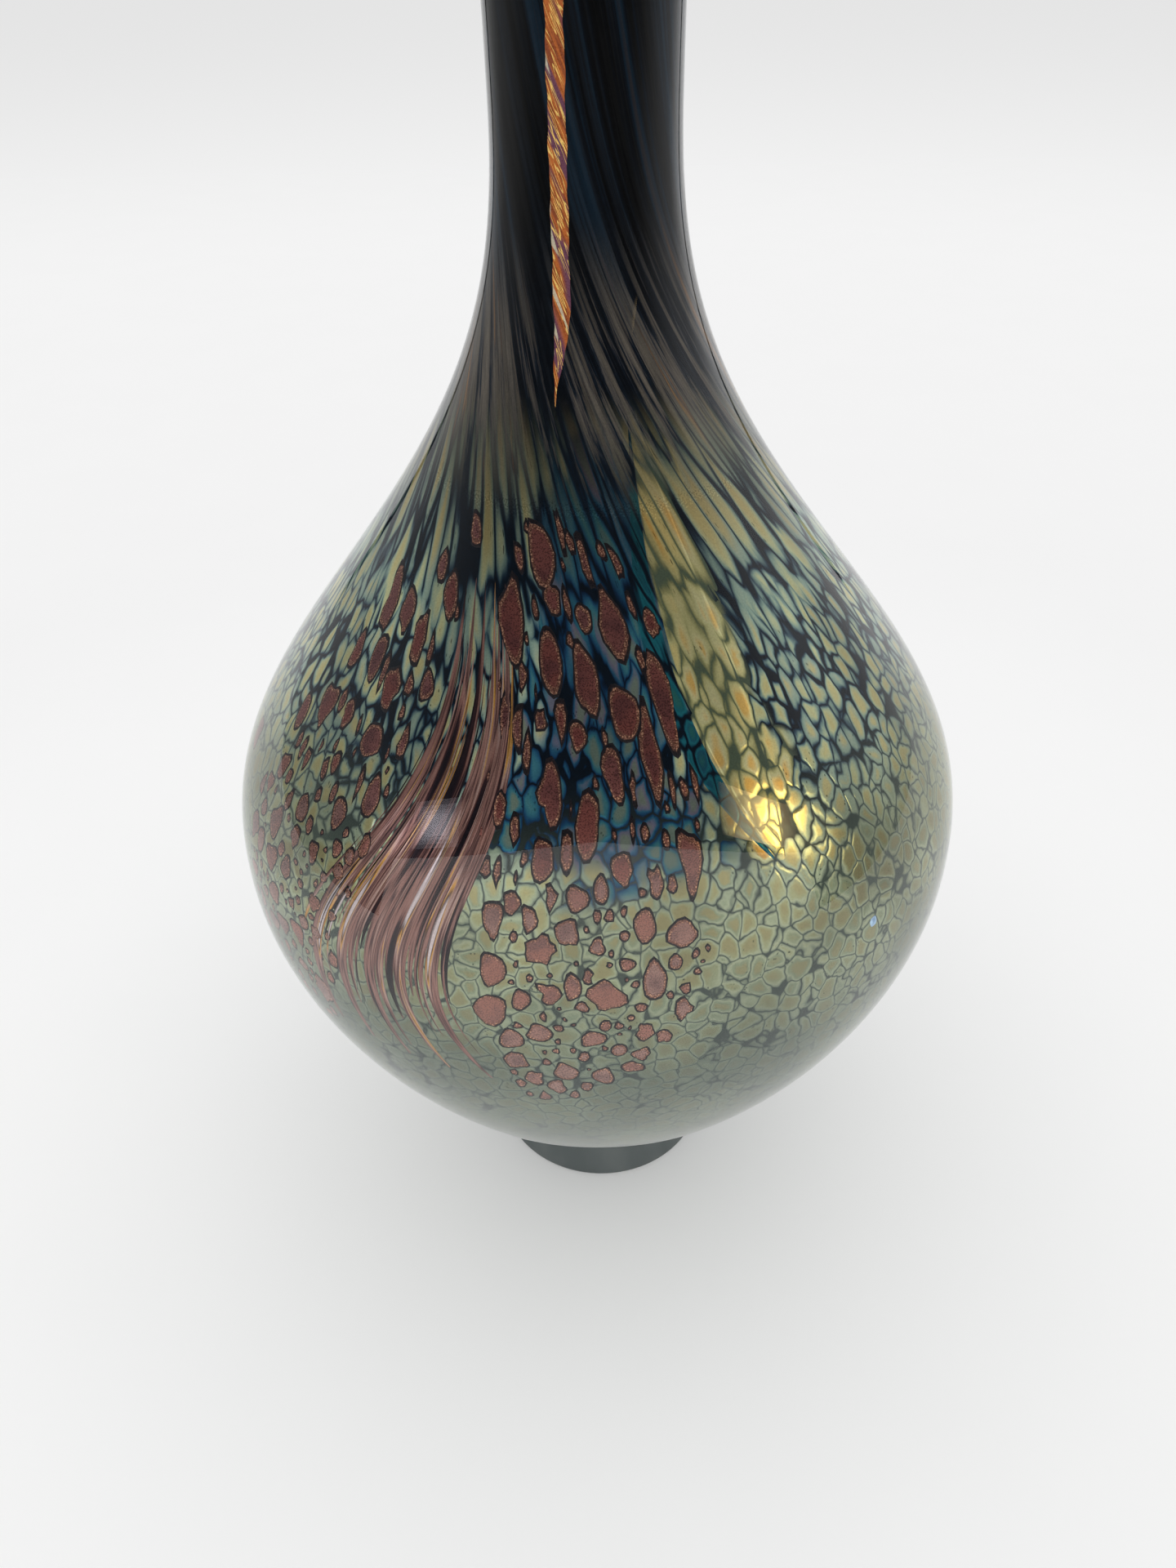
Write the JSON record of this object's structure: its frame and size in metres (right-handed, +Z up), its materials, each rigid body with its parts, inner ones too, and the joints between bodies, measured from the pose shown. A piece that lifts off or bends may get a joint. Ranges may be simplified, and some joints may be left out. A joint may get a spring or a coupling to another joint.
{
  "type": "studio glass vase",
  "caption": "Blown bottle vase with a round body, a long slim neck, a flared rim and an applied foot, decorated under a clear casing.",
  "frame": {"origin": "centre of the foot's resting face, on the vase's axis", "axes": "+Z up along the vase's axis towards the mouth, -Y towards the front, +X to the right seen from the front"},
  "size_m": [0.18, 0.18, 0.3705],
  "materials": {
    "dark_glass": "opaque blue-black glass, fire polished",
    "spot_glass": "lustred olive and teal spots in a dark net",
    "gold_glass": "lustred gold streaked with olive",
    "teal_glass": "deep teal, nearly opaque",
    "ribbon_glass": "orange and purple cane with thin gold threads, twisted",
    "plume_glass": "copper pulled into strands with pale and gold threads",
    "copper_glass": "mauve-brown copper with sparkling rims",
    "fleck_glass": "opaque pale blue",
    "clear_glass": "clear, fire polished",
    "foot_glass": "dark grey glass, smooth, ground hollow below"
  },
  "bodies": {
    "root": {"core_bubble": "dark_glass", "spot_skin": "spot_glass", "gold_streak": "gold_glass", "teal_streak": "teal_glass", "neck_ribbon": "ribbon_glass", "copper_plume": "plume_glass", "copper_chips": "copper_glass", "blue_flecks": "fleck_glass", "clear_casing": "clear_glass", "foot": "foot_glass"}
  },
  "joints": []
}
